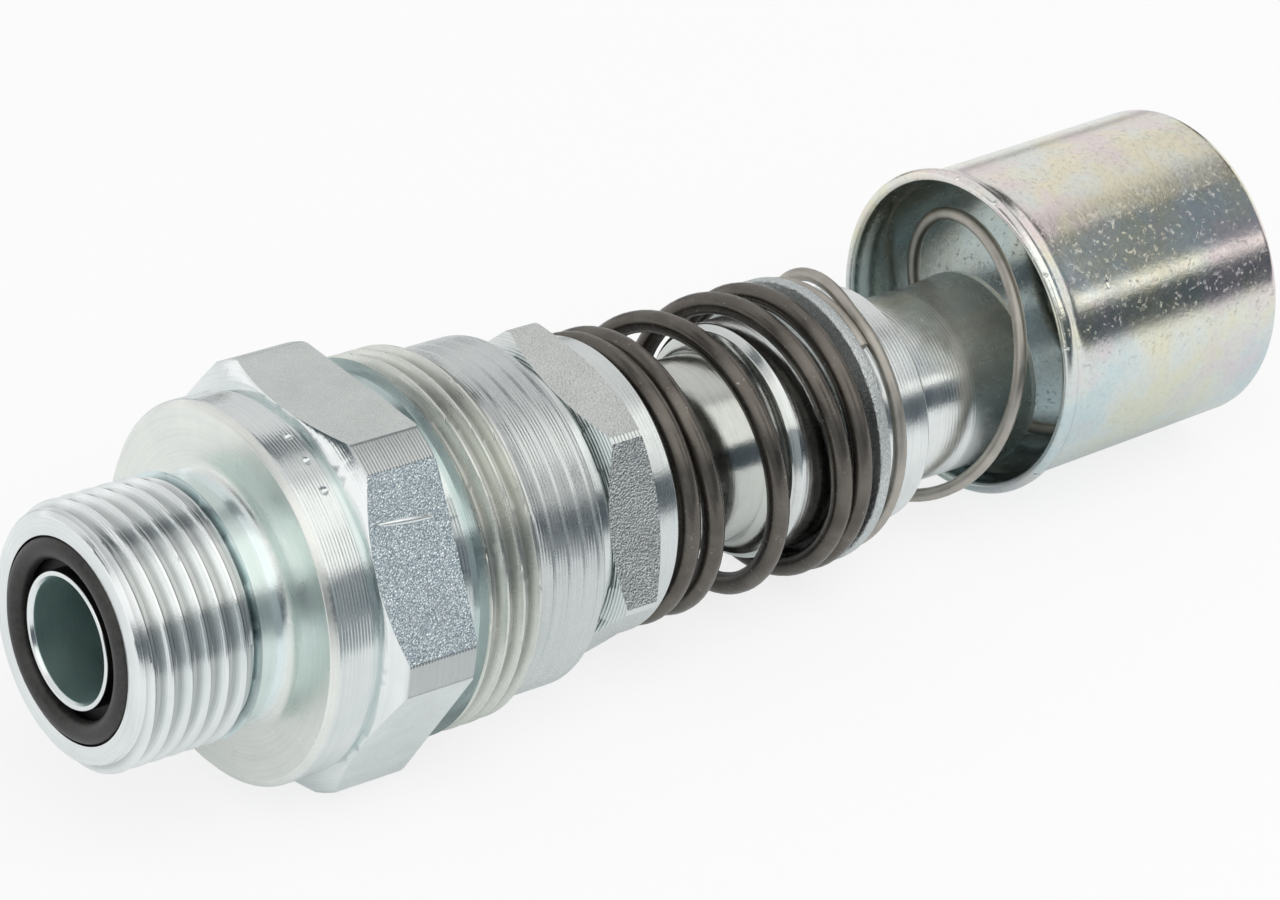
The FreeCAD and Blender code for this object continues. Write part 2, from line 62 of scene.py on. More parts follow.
# Hexagons: CORNER is the radius of their turned corners, CHAMFER and TURN are in degrees.
# FRONT_FLAT is the angle at which the flat with the thin ridge looks out.
HEX_START, HEX_LENGTH, HEX_ACROSS = 17.6, 7.4, 30.3
HEX_CORNER, HEX_CHAMFER, HEX_TURN = 16.75, 36.0, 0.0
NUT_START, NUT_LENGTH, NUT_ACROSS = 41.3, 4.8, 24.0
NUT_CORNER, NUT_CHAMFER, NUT_TURN = 13.7, 30.0, 12.0
FRONT_FLAT = 150.0
HOLE_SHARE = 0.8
EDGE_BREAK = 0.15

# Springs: CLOSED is the number of closed turns at each end, ANGLE is where the wire starts
SPRING_STEPS, CLOSED_PITCH = 72, 1.03
RIGHT_HAND, LEFT_HAND = 1, -1
MAIN_START, MAIN_LENGTH = 48.22, 20.66
MAIN_WIRE, MAIN_RADIUS, MAIN_TURNS, MAIN_CLOSED, MAIN_ANGLE = 1.8, 11.1, 4.66, 1.25, 42.0
GUARD_START, GUARD_END, GUARD_FOLLOWS = 70.02, 109.47, 96.0
GUARD_WIRE, GUARD_RADIUS, GUARD_TURNS, GUARD_CLOSED, GUARD_ANGLE = 1.1, 10.95, 4.43, 1.05, 122.0
GUARD_WIDENS, GUARD_WAIST, GUARD_FLARE = 0.6, 0.6, 0.6
VALVE_START, VALVE_END = 73.14, 84.67
VALVE_WIRE, VALVE_RADIUS, VALVE_TURNS, VALVE_CLOSED, VALVE_ANGLE = 0.5, 2.75, 6.5, 1.0, 0.0

# Sleeve axis: where it crosses the end of the stem's head, and its tilt
HEAD_END, SLEEVE_LIFT, SLEEVE_TILT = 89.1, 3.8, math.radians(2.3)
SLEEVE_RIM_X = 86.6


# Modelling

def rounded(outline):
    """Points of an outline of (x, radius) pairs. A third value rounds that corner."""
    points = []
    count = len(outline)
    for i, corner in enumerate(outline):
        here = Vector(corner[:2])
        if len(corner) < 3:
            points.append(here)
            continue
        before = Vector(outline[i - 1][:2]) - here
        after = Vector(outline[(i + 1) % count][:2]) - here
        opening = before.angle(after)
        room = min(before.length, after.length) * LONGEST_ROUND
        reach = min(corner[2] / math.tan(opening / 2), room)
        start = here + before.normalized() * reach
        end = here + after.normalized() * reach
        for k in range(ROUND_STEPS + 1):
            s = k / ROUND_STEPS
            points.append(start * (1 - s) ** 2 + here * (2 * s * (1 - s)) + end * s * s)
    return points


def along(x0, x1, radius, steps):
    """Evenly spaced points of a cylinder wall."""
    return [(x0 + (x1 - x0) * k / steps, radius) for k in range(steps + 1)]


def arc(centre, radius, start, end, steps):
    """Points of an arc in the outline's plane, in degrees from +X towards a larger radius."""
    points = []
    for k in range(steps + 1):
        a = math.radians(start + (end - start) * k / steps)
        points.append((centre[0] + radius * math.cos(a), centre[1] + radius * math.sin(a)))
    return points


def turned(name, outline):
    """Turn a closed outline: a circle is extruded from ring to ring and bridged to its start."""
    points = rounded(outline)
    x, radius = points[0]
    bpy.ops.object.select_all(action="DESELECT")
    bpy.ops.mesh.primitive_circle_add(
        vertices=RING_SEGMENTS,
        radius=radius * MM,
        location=(x * MM, 0, 0),
        rotation=(0, math.pi / 2, 0),
    )
    piece = bpy.context.object
    piece.name = name
    bpy.ops.object.transform_apply()
    bpy.ops.object.mode_set(mode="EDIT")
    bpy.ops.mesh.select_mode(type="EDGE")
    bpy.ops.mesh.select_all(action="SELECT")
    for next_x, next_radius in points[1:]:
        shift = {"value": ((next_x - x) * MM, 0, 0)}
        bpy.ops.mesh.extrude_edges_move(TRANSFORM_OT_translate=shift)
        grow = next_radius / radius
        if abs(grow - 1) > 1e-6:
            bpy.ops.transform.resize(value=(1, grow, grow), center_override=(next_x * MM, 0, 0))
        x, radius = next_x, next_radius
    bpy.ops.mesh.select_all(action="DESELECT")
    bpy.ops.mesh.select_non_manifold()
    bpy.ops.mesh.bridge_edge_loops()
    bpy.ops.mesh.select_all(action="SELECT")
    bpy.ops.mesh.normals_make_consistent(inside=False)
    bpy.ops.object.mode_set(mode="OBJECT")
    return piece


def combine(piece, tool, operation):
    """Cut, join or keep what two closed pieces share, and drop the tool."""
    bpy.ops.object.select_all(action="DESELECT")
    bpy.context.view_layer.objects.active = piece
    piece.select_set(True)
    step = piece.modifiers.new("combine", "BOOLEAN")
    step.operation = operation
    step.object = tool
    step.solver = "EXACT"
    bpy.ops.object.modifier_apply(modifier=step.name)
    bpy.data.objects.remove(tool, do_unlink=True)
    return piece


def hexagon(x, length, across_flats, turned_radius, chamfer, turn, both_ends):
    """A hexagon bar with its corners turned round and one end or both chamfered."""
    flat = across_flats / 2
    rise = (turned_radius - flat) * math.tan(math.radians(chamfer))
    end_rise = rise if both_ends else EDGE_BREAK
    end_flat = flat if both_ends else turned_radius - EDGE_BREAK
    hole = flat * HOLE_SHARE
    blank = turned(
        "hexagon_blank",
        [
            (x, hole),
            (x, flat),
            (x + rise, turned_radius),
            (x + length - end_rise, turned_radius),
            (x + length, end_flat),
            (x + length, hole),
        ],
    )
    bpy.ops.object.select_all(action="DESELECT")
    bpy.ops.mesh.primitive_cylinder_add(
        vertices=6,
        radius=across_flats / math.sqrt(3) * MM,
        depth=(length + 2) * MM,
        location=((x + length / 2) * MM, 0, 0),
        rotation=(0, math.pi / 2, 0),
    )
    bar = bpy.context.object
    bpy.ops.object.transform_apply()
    bar.data.transform(Matrix.Rotation(math.radians(turn), 4, "X"))
    return combine(blank, bar, "INTERSECT")


def cut_thread(piece, start, end, pitch, major, minor, lead):
    """Move the wall between start and end to a right-handed thread, bevelled at both ends.
    Points first slide along the axis to the nearest line of the thread, so the crests run clean.
    lead is how far under the root the bevel starts, and its slope."""
    for v in piece.data.vertices:
        x = v.co.x / MM
        radius = math.hypot(v.co.y, v.co.z) / MM
        if not start <= x <= end or radius < minor - BELOW_ROOT:
            continue
        turn = math.atan2(v.co.z, v.co.y) / FULL_TURN
        line = round((x / pitch - turn) * THREAD_STEPS)
        x = min(end, max(start, (line / THREAD_STEPS + turn) * pitch))
        saw = abs(2 * (line / THREAD_STEPS % 1) - 1)
        height = min(1, max(0, (saw - THREAD_FLAT) / (1 - 2 * THREAD_FLAT)))
        height = (math.sqrt(height * height + ROOT_ROUND * ROOT_ROUND) - ROOT_ROUND) / CREST_SHARE
        wall = minor + (major - minor) * height
        room = min(x - start, end - x)
        bevel = max(minor - BELOW_ROOT, minor - lead[0] + room * lead[1])
        wall = min(wall, bevel, major)
        grow = min(wall, radius) / radius
        v.co = (x * MM, v.co.y * grow, v.co.z * grow)
    for face in piece.data.polygons:
        reach = math.hypot(face.center.y, face.center.z) / MM
        face.select = start < face.center.x / MM < end and reach > minor - BELOW_ROOT
    bpy.ops.object.select_all(action="DESELECT")
    bpy.context.view_layer.objects.active = piece
    piece.select_set(True)
    bpy.ops.object.mode_set(mode="EDIT")
    bpy.ops.mesh.select_mode(type="FACE")
    bpy.ops.mesh.quads_convert_to_tris(quad_method="SHORTEST_DIAGONAL")
    bpy.ops.object.mode_set(mode="OBJECT")


def finish_shading(piece, angle=38):
    """Smooth the shading and keep edges sharper than the angle, in degrees."""
    bpy.ops.object.select_all(action="DESELECT")
    bpy.context.view_layer.objects.active = piece
    piece.select_set(True)
    bpy.ops.object.shade_smooth_by_angle(angle=math.radians(angle))
    step = piece.modifiers.new("even_normals", "WEIGHTED_NORMAL")
    step.keep_sharp = True
    bpy.ops.object.modifier_apply(modifier=step.name)


def coil(name, wire, points):
    """A round wire along a list of points, made from a curve."""
    bpy.ops.object.select_all(action="DESELECT")
    line = bpy.data.curves.new(name, "CURVE")
    line.dimensions = "3D"
    line.bevel_depth = wire / 2 * MM
    line.bevel_resolution = 6
    line.use_fill_caps = True
    spline = line.splines.new("POLY")
    spline.points.add(len(points) - 1)
    for p, point in zip(spline.points, points):
        p.co = (point[0] * MM, point[1] * MM, point[2] * MM, 1)
    piece = bpy.data.objects.new(name, line)
    bpy.context.scene.collection.objects.link(piece)
    bpy.context.view_layer.objects.active = piece
    piece.select_set(True)
    bpy.ops.object.convert(target="MESH")
    piece = bpy.context.object
    bpy.ops.object.mode_set(mode="EDIT")
    bpy.ops.mesh.select_all(action="SELECT")
    bpy.ops.mesh.remove_doubles(threshold=1e-6)
    bpy.ops.mesh.normals_make_consistent(inside=False)
    bpy.ops.object.mode_set(mode="OBJECT")
    finish_shading(piece, 50)
    return piece


def helix(start_x, length, turns, end_turns, wire, start_angle, hand, centre_at, radius_at):
    """Centre points of a spring with closed turns at both ends."""
    end_pitch = wire * CLOSED_PITCH
    free = length - wire
    open_pitch = (free - 2 * end_turns * end_pitch) / (turns - 2 * end_turns)
    points = []
    steps = int(turns * SPRING_STEPS)
    for i in range(steps + 1):
        turn = turns * i / steps
        if turn < end_turns:
            travel = turn * end_pitch
        elif turn > turns - end_turns:
            travel = free - (turns - turn) * end_pitch
        else:
            travel = end_turns * end_pitch + (turn - end_turns) * open_pitch
        x = start_x + wire / 2 + travel
        a = math.radians(start_angle) + hand * FULL_TURN * turn
        centre_z = centre_at(x)
        radius = radius_at(turn / turns)
        points.append((x, radius * math.cos(a), centre_z + radius * math.sin(a)))
    return points


# Materials

PLAIN = (1.0, 1.0, 1.0)
FEED_DEPTH = 0.005
LATHE_RINGS, LATHE_DRIFT = 5200.0, 90.0


def shader(name):
    material = bpy.data.materials.new(name)
    material.use_nodes = True
    tree = material.node_tree
    return material, tree, tree.nodes["Principled BSDF"]


def node(tree, kind, inputs=(), **settings):
    made = tree.nodes.new(kind)
    for key, value in settings.items():
        setattr(made, key, value)
    for key, value in dict(inputs).items():
        if isinstance(value, bpy.types.NodeSocket):
            tree.links.new(value, made.inputs[key])
        else:
            made.inputs[key].default_value = value
    return made


def math_node(tree, operation, a, b=0.0):
    return node(tree, "ShaderNodeMath", {0: a, 1: b}, operation=operation).outputs[0]


def ramp(tree, value, stops):
    made = node(tree, "ShaderNodeValToRGB", {"Fac": value})
    elements = made.color_ramp.elements
    while len(elements) < len(stops):
        elements.new(0.5)
    for element, (position, colour) in zip(elements, stops):
        element.position = position
        element.color = (*colour, 1)
    return made.outputs["Color"]


def grey(value):
    return (value, value, value)


def mixed(tree, share, a, b, blend="MIX"):
    made = node(tree, "ShaderNodeMix", data_type="RGBA", blend_type=blend)
    for key, value in ((0, share), (6, a), (7, b)):
        if isinstance(value, bpy.types.NodeSocket):
            tree.links.new(value, made.inputs[key])
        else:
            made.inputs[key].default_value = (*value, 1) if isinstance(value, tuple) else value
    return made.outputs[2]


def place(tree):
    """Object coordinates, their x, y and z, and x plus the distance from the axis, which runs on
    along walls and end faces alike."""
    coords = node(tree, "ShaderNodeTexCoord").outputs["Object"]
    parts = node(tree, "ShaderNodeSeparateXYZ", {0: coords})
    x, y, z = parts.outputs
    y_square = math_node(tree, "MULTIPLY", y, y)
    z_square = math_node(tree, "MULTIPLY", z, z)
    radius = math_node(tree, "SQRT", math_node(tree, "ADD", y_square, z_square))
    return coords, x, y, z, math_node(tree, "ADD", x, radius)


def noise(tree, vector, scale, detail=3.0, rough=0.55):
    inputs = {"Vector": vector, "Scale": scale, "Detail": detail, "Roughness": rough}
    return node(tree, "ShaderNodeTexNoise", inputs).outputs["Fac"]


def spread(tree, value, low, high):
    """0 to 1 between two lengths in millimetres."""
    inputs = {"Value": value, "From Min": low * MM, "From Max": high * MM}
    return node(tree, "ShaderNodeMapRange", inputs).outputs[0]


def tool_marks(tree, y, z, along_wall):
    """Fine rings left by the lathe: quick along the wall, slow around it."""
    inputs = {
        0: math_node(tree, "MULTIPLY", along_wall, LATHE_RINGS),
        1: math_node(tree, "MULTIPLY", y, LATHE_DRIFT),
        2: math_node(tree, "MULTIPLY", z, LATHE_DRIFT),
    }
    vector = node(tree, "ShaderNodeCombineXYZ", inputs).outputs[0]
    return noise(tree, vector, 1.0, 2.0, 0.6)


def bumped(tree, bsdf, layers):
    """Chain bump layers of (height, strength, depth in millimetres)."""
    last = None
    for height, strength, depth in layers:
        inputs = {"Height": height, "Strength": strength, "Distance": depth * MM}
        bump = node(tree, "ShaderNodeBump", inputs)
        if last:
            tree.links.new(last, bump.inputs["Normal"])
        last = bump.outputs["Normal"]
    tree.links.new(last, bsdf.inputs["Normal"])


def zoned(tree, x, zones, column):
    """A ramp along x through one column of a list of (place in mm, roughness, comb, tint)."""
    low, high = zones[0][0], zones[-1][0]
    stops = []
    for zone in zones:
        value = zone[column]
        colour = value if isinstance(value, tuple) else grey(value)
        stops.append(((zone[0] - low) / (high - low), colour))
    return ramp(tree, spread(tree, x, low, high), stops)


ROUGH_COLUMN, COMB_COLUMN, TINT_COLUMN = 1, 2, 3
# ROOT_SHADE is painted shade, with some oil, that darkens the roots of threads
ROOT_SHADE = [(0.0, grey(0.58)), (0.35, grey(0.76)), (0.7, grey(1.0)), (1.0, grey(1.0))]


def zinc_steel(name, colour, cool, zones, threads=(), comb_pitch=0.34):
    """Turned and zinc-plated steel. Zones along x give roughness, depth of the feed lines and tint.
    Threads of (start, end, root radius, crest radius) are darker in their roots, painted shade with
    some oil."""
    material, tree, bsdf = shader(name)
    coords, x, y, z, along_wall = place(tree)
    cloud = noise(tree, coords, 190.0, 4.0)
    base = mixed(tree, ramp(tree, cloud, [(0.3, grey(0)), (0.7, grey(1))]), colour, cool)
    rings = tool_marks(tree, y, z, along_wall)
    dirt = ramp(tree, rings, [(0.25, grey(0.7)), (0.6, grey(1))])
    base = mixed(tree, 0.25, base, dirt, "MULTIPLY")
    base = mixed(tree, 1.0, base, zoned(tree, x, zones, TINT_COLUMN), "MULTIPLY")
    for start, end, root, crest in threads:
        radius = math_node(tree, "SUBTRACT", along_wall, x)
        height = spread(tree, radius, root, crest)
        after = math_node(tree, "GREATER_THAN", x, start * MM)
        inside = math_node(tree, "MULTIPLY", after, math_node(tree, "LESS_THAN", x, end * MM))
        base = mixed(tree, inside, base, ramp(tree, height, ROOT_SHADE), "MULTIPLY")
    tree.links.new(base, bsdf.inputs["Base Color"])
    bsdf.inputs["Metallic"].default_value = 1.0
    wear = noise(tree, coords, 620.0, 5.0, 0.65)
    rub = ramp(tree, wear, [(0.3, grey(0.0)), (0.75, grey(0.12))])
    rough = math_node(tree, "ADD", zoned(tree, x, zones, ROUGH_COLUMN), rub)
    tree.links.new(rough, bsdf.inputs["Roughness"])
    turns = math_node(tree, "MULTIPLY", along_wall, FULL_TURN / (comb_pitch * MM))
    feed = math_node(tree, "SINE", turns)
    comb = math_node(tree, "MULTIPLY", feed, zoned(tree, x, zones, COMB_COLUMN))
    grain = noise(tree, coords, 5200.0, 2.0)
    bumped(tree, bsdf, [(rings, 1.0, 0.006), (comb, 1.0, FEED_DEPTH), (grain, 1.0, 0.004)])
    return material


def even_zones(rough, comb=0.1):
    """The same finish from end to end."""
    return [(0.0, rough, comb, PLAIN), (112.0, rough, comb, PLAIN)]


def rough_flats(name, dull, bright, rough=0.15, grain=1.0):
    """Hexagon flats of drawn bar, grainy and sparkling under the zinc, partly with painted glints
    of the bright colour. grain scales the depth.
    """
    material, tree, bsdf = shader(name)
    coords = place(tree)[0]
    grain_and_painted_glints = noise(tree, coords, 7600.0, 2.0, 0.5)
    cloud = noise(tree, coords, 420.0, 4.0, 0.6)
    # Painted glints: bright specks mixed into the flats' colour
    base = mixed(tree, ramp(tree, grain_and_painted_glints, [(0.40, grey(0)), (0.62, grey(1))]), dull, bright)
    shade = ramp(tree, cloud, [(0.3, grey(0.90)), (0.7, grey(1))])
    base = mixed(tree, 1.0, base, shade, "MULTIPLY")
    tree.links.new(base, bsdf.inputs["Base Color"])
    bsdf.inputs["Metallic"].default_value = 1.0
    bsdf.inputs["Roughness"].default_value = rough
    cells = node(tree, "ShaderNodeTexVoronoi", {"Vector": coords, "Scale": 6400.0})
    distance = cells.outputs["Distance"]
    cups = math_node(tree, "MULTIPLY", distance, distance)
    bumped(tree, bsdf, [(cups, 1.0, 0.044 * grain), (grain_and_painted_glints, 1.0, 0.026 * grain)])
    return material


def dark_wire(name, inner, outer):
    """Oiled spring wire with dust and small bright rubs. Wear and a painted highlight make it paler
    along the outside of the coil, and painted shade darker towards the inside.
    """
    material, tree, bsdf = shader(name)
    coords, x, y, z, along_wall = place(tree)
    cloud = noise(tree, coords, 260.0, 4.0)
    base = ramp(tree, cloud, [(0.3, (0.112, 0.100, 0.088)), (0.7, (0.200, 0.181, 0.160))])
    # Painted highlight and wear towards the outside of the coil, painted shade towards the inside
    wear_and_painted_light = spread(tree, math_node(tree, "SUBTRACT", along_wall, x), inner, outer)
    shade = ramp(tree, wear_and_painted_light, [(0.2, grey(0.5)), (0.6, grey(0.82)), (0.9, grey(1.0))])
    base = mixed(tree, 1.0, base, shade, "MULTIPLY")
    dust = ramp(tree, noise(tree, coords, 2600.0, 3.0, 0.7), [(0.66, grey(0)), (0.72, grey(0.8))])
    base = mixed(tree, dust, base, (0.50, 0.48, 0.45))
    tree.links.new(base, bsdf.inputs["Base Color"])
    bsdf.inputs["Metallic"].default_value = 0.9
    rough = ramp(tree, cloud, [(0.3, grey(0.22)), (0.7, grey(0.34))])
    tree.links.new(rough, bsdf.inputs["Roughness"])
    bumped(tree, bsdf, [(noise(tree, coords, 3200.0, 3.0), 1.0, 0.008)])
    return material


def bright_wire(name):
    """Plain spring wire, dull and a little warm."""
    material, tree, bsdf = shader(name)
    coords = place(tree)[0]
    cloud = noise(tree, coords, 420.0, 4.0)
    base = ramp(tree, cloud, [(0.3, (0.42, 0.395, 0.355)), (0.7, (0.57, 0.54, 0.49))])
    tree.links.new(base, bsdf.inputs["Base Color"])
    bsdf.inputs["Metallic"].default_value = 1.0
    rough = ramp(tree, cloud, [(0.3, grey(0.36)), (0.7, grey(0.48))])
    tree.links.new(rough, bsdf.inputs["Roughness"])
    bumped(tree, bsdf, [(noise(tree, coords, 4200.0, 2.0), 1.0, 0.004)])
    return material


def sleeve_zinc(name, plain, warm, cool, blush, rough):
    """Drawn tube with a passivated zinc coat: clouds of pale colour, specks and scuffs, and painted
    shade that makes it darker and cooler towards the bottom. rough is the lowest and the highest
    roughness."""
    material, tree, bsdf = shader(name)
    coords, x, y, z, along_wall = place(tree)
    cloud = noise(tree, coords, 85.0, 6.0, 0.60)
    base = ramp(tree, cloud, [(0.34, cool), (0.46, plain), (0.58, warm), (0.70, plain)])
    moved = node(tree, "ShaderNodeMapping", {"Vector": coords, "Location": (0.3, 0.2, 0.1)})
    spots = noise(tree, moved.outputs[0], 130.0, 6.0, 0.60)
    base = mixed(tree, ramp(tree, spots, [(0.50, grey(0)), (0.64, grey(0.9))]), base, blush)
    speck = noise(tree, coords, 2600.0, 4.0, 0.75)
    dirt = ramp(tree, speck, [(0.32, grey(0.6)), (0.50, grey(1))])
    base = mixed(tree, 0.26, base, dirt, "MULTIPLY")
    # Painted shade: darker and cooler towards the bottom of the sleeve
    painted_shade_below = ramp(tree, spread(tree, z, -8.0, 13.0), [(0.0, (0.56, 0.65, 0.71)), (1.0, PLAIN)])
    base = mixed(tree, 1.0, base, painted_shade_below, "MULTIPLY")
    tree.links.new(base, bsdf.inputs["Base Color"])
    bsdf.inputs["Metallic"].default_value = 1.0
    wear = noise(tree, coords, 420.0, 5.0, 0.65)
    worn = ramp(tree, wear, [(0.3, grey(rough[0])), (0.75, grey(rough[1]))])
    tree.links.new(worn, bsdf.inputs["Roughness"])
    pits = ramp(tree, noise(tree, coords, 1900.0, 4.0, 0.7), [(0.60, grey(0)), (0.67, grey(1))])
    bumped(tree, bsdf, [(wear, 1.0, 0.014), (speck, 1.0, 0.010), (pits, 1.0, 0.012)])
    return material


def rubber(name, colour):
    """Seal rubber, a little dusty."""
    material, tree, bsdf = shader(name)
    coords = place(tree)[0]
    dust = noise(tree, coords, 1800.0, 4.0, 0.65)
    lighter = tuple(c * 1.9 + 0.01 for c in colour)
    tree.links.new(ramp(tree, dust, [(0.35, colour), (0.75, lighter)]), bsdf.inputs["Base Color"])
    rough = ramp(tree, dust, [(0.3, grey(0.34)), (0.7, grey(0.50))])
    tree.links.new(rough, bsdf.inputs["Roughness"])
    bumped(tree, bsdf, [(noise(tree, coords, 4200.0, 3.0), 1.0, 0.008)])
    return material


def moulded(name, colour):
    """Plastic of the rings that guide and back the seals."""
    material, tree, bsdf = shader(name)
    coords = place(tree)[0]
    cloud = noise(tree, coords, 700.0, 3.0)
    darker = tuple(c * 0.82 for c in colour)
    tree.links.new(ramp(tree, cloud, [(0.3, darker), (0.7, colour)]), bsdf.inputs["Base Color"])
    bsdf.inputs["Roughness"].default_value = 0.45
    bumped(tree, bsdf, [(noise(tree, coords, 3800.0, 2.0), 1.0, 0.004)])
    return material


# Tints for the zones along a turned part
TEAL = (0.93, 0.985, 0.98)
PALE_TEAL = (1.04, 1.12, 1.13)
PAINTED_LIGHT_CREAM = (1.16, 1.13, 1.08)
# Painted light that brightens the flange's face
PALE = (1.14, 1.13, 1.13)
DIM = (0.87, 0.87, 0.87)
DARK = (0.70, 0.70, 0.70)
# Painted shade of the heavy spring on the stem's rod
PAINTED_SPRING_SHADE = (0.81, 0.80, 0.765)
WARM = (1.0, 0.978, 0.92)

adapter_zinc = zinc_steel(
    "adapter_zinc",
    (0.76, 0.80, 0.80),
    (0.84, 0.87, 0.865),
    [
        (0.0, 0.16, 0.2, PALE), (9.4, 0.14, 0.2, PALE),
        (10.2, 0.16, 0.1, PALE_TEAL), (12.6, 0.16, 0.0, PALE_TEAL),
        # The flange's face carries painted light
        (13.2, 0.26, 0.0, PAINTED_LIGHT_CREAM), (13.6, 0.24, 0.0, PAINTED_LIGHT_CREAM),
        (13.9, 0.14, 0.8, PLAIN), (16.7, 0.14, 0.8, PLAIN), (17.2, 0.16, 0.2, TEAL),
        (17.7, 0.10, 0.1, PALE), (18.65, 0.10, 0.1, PALE),
        (18.8, 0.18, 2.4, DARK), (24.9, 0.18, 2.4, DARK),
        (25.2, 0.12, 0.1, TEAL), (26.0, 0.12, 0.1, PLAIN), (27.3, 0.14, 0.1, TEAL),
        (27.8, 0.22, 0.3, WARM), (32.6, 0.24, 0.3, WARM),
        (33.2, 0.22, 1.1, DIM), (38.9, 0.22, 1.1, DIM), (39.5, 0.24, 0.2, TEAL),
    ],
    [
        (0.4, STUD_END, STUD_MINOR, STUD_MAJOR),
        (PLATE_START + 0.3, PLATE_END - 0.2, PLATE_MINOR, PLATE_MAJOR),
    ],
    comb_pitch=0.28,
)
bore_zinc = zinc_steel("bore_zinc", (0.66, 0.82, 0.80), (0.72, 0.87, 0.85), even_zones(0.36))
flat_zinc = rough_flats("hexagon_flats", (0.44, 0.54, 0.60), (0.92, 0.98, 1.0), 0.10, 1.4)
# Top and low flats: copies of the flats with painted light and shade for the way they look
painted_light_top_flat = rough_flats("hexagon_top_flat_painted_light", (0.66, 0.70, 0.68), (0.76, 0.79, 0.77), 0.22, 0.35)
painted_light_low_flat = rough_flats("hexagon_low_flat_painted_light", (0.80, 0.85, 0.84), (0.88, 0.93, 0.92), 0.22, 0.35)
nut_flat_zinc = rough_flats("nut_flats", (0.38, 0.40, 0.40), (0.72, 0.75, 0.74))
# The nut's top flat is a lighter copy: painted light
painted_light_nut_top_flat = rough_flats("nut_top_flat", (0.68, 0.70, 0.68), (0.80, 0.82, 0.79), 0.22, 0.4)
ridge_zinc = zinc_steel("ridge_zinc", (0.88, 0.92, 0.92), (0.92, 0.95, 0.95), even_zones(0.14, 0.0))
# Groove walls and floor nearly black: oil and painted shade
groove_oil_and_painted_shade = zinc_steel("groove_oil_and_painted_shade", (0.05, 0.05, 0.05), (0.07, 0.07, 0.07), even_zones(0.45))
nut_zinc = zinc_steel(
    "nut_zinc",
    (0.74, 0.78, 0.78),
    (0.82, 0.85, 0.84),
    [
        (27.0, 0.18, 0.3, PLAIN), (41.2, 0.18, 0.3, PLAIN),
        (41.5, 0.18, 1.2, PLAIN), (46.0, 0.18, 1.2, PLAIN),
        (46.3, 0.20, 0.2, PLAIN), (48.2, 0.20, 0.2, PLAIN),
    ],
)
stem_zinc = zinc_steel(
    "stem_zinc",
    (0.74, 0.77, 0.765),
    (0.84, 0.87, 0.86),
    [
        # The rod carries painted shade where the heavy spring covers it
        (24.0, 0.13, 0.05, PAINTED_SPRING_SHADE), (61.5, 0.13, 0.05, PAINTED_SPRING_SHADE),
        (62.5, 0.14, 0.2, PLAIN), (75.8, 0.20, 0.3, PALE),
        (76.2, 0.17, 0.3, PALE), (82.3, 0.17, 0.3, PALE),
        (82.9, 0.20, 0.1, DARK), (90.0, 0.20, 0.1, DARK),
    ],
)
washer_zinc = rough_flats("washer_zinc", (0.58, 0.62, 0.62), (0.82, 0.85, 0.85), 0.45)
inner_zones = even_zones(0.20, 0.2)
inner_steel = zinc_steel("inner_steel", (0.58, 0.60, 0.60), (0.66, 0.68, 0.68), inner_zones)
guide_brass = zinc_steel("guide_brass", (0.72, 0.56, 0.28), (0.78, 0.62, 0.34), inner_zones)
heavy_wire = dark_wire("heavy_wire", 10.2, 12.0)
clip_wire = dark_wire("clip_wire", 2.0, 9.8)
light_wire = bright_wire("light_wire")
cup_colours = [(0.92, 0.93, 0.87), (0.98, 0.92, 0.72), (0.79, 0.89, 0.89), (0.95, 0.83, 0.83)]
cup_zinc = sleeve_zinc("cup_zinc", *cup_colours, (0.15, 0.24))
cup_face = sleeve_zinc("cup_face", *cup_colours, (0.40, 0.50))
cup_inside = sleeve_zinc(
    "cup_inside",
    (0.68, 0.73, 0.68),
    (0.75, 0.71, 0.58),
    (0.63, 0.72, 0.69),
    (0.66, 0.67, 0.61),
    (0.20, 0.32),
)
ring_rubber = rubber("ring_rubber", (0.020, 0.019, 0.018))
seal_plastic = moulded("seal_plastic", (0.86, 0.86, 0.82))
wiper_plastic = moulded("wiper_plastic", (0.20, 0.26, 0.30))


# Dressing: faces are told apart by where they lie and where they look

FLAT_TOLERANCE, LOOKS_UP, LOOKS_FORWARD = 0.02, 0.8, 0.9


def dress(piece, materials, body, replaced):
    """Give a piece its finishes, its body and the parts that it stands for."""
    piece.data.materials.clear()
    for material in materials:
        piece.data.materials.append(material)
    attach(piece, body)
    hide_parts(*replaced)


def finish_index(piece, finish):
    return piece.data.materials.find(finish.name)


def mark_flats(piece, across_flats, start, length, side, top, low):
    """Give a hexagon's side, top and low flats their own finishes, lit and shaded copies with
    painted light and shade for the way each flat looks.
    """
    for face in piece.data.polygons:
        reach = (face.center.y * face.normal.y + face.center.z * face.normal.z) / MM
        level = abs(face.normal.x) < FLAT_TOLERANCE
        on_flat = level and abs(reach - across_flats / 2) < FLAT_TOLERANCE
        if not on_flat or not start < face.center.x / MM < start + length:
            continue
        if face.normal.z > LOOKS_UP:
            finish = top
        elif face.normal.z < 0:
            finish = low
        else:
            finish = side
        face.material_index = finish_index(piece, finish)


def mark_inside(piece, reach, x0, x1, finish, axis_z=lambda x: 0.0):
    """Give the walls that face the axis their own finish."""
    index = finish_index(piece, finish)
    for face in piece.data.polygons:
        x = face.center.x / MM
        z = face.center.z - axis_z(x) * MM
        radius = math.hypot(face.center.y, z) / MM
        inward = face.normal.y * face.center.y + face.normal.z * z < 0
        if inward and radius < reach and x0 < x < x1:
            face.material_index = index


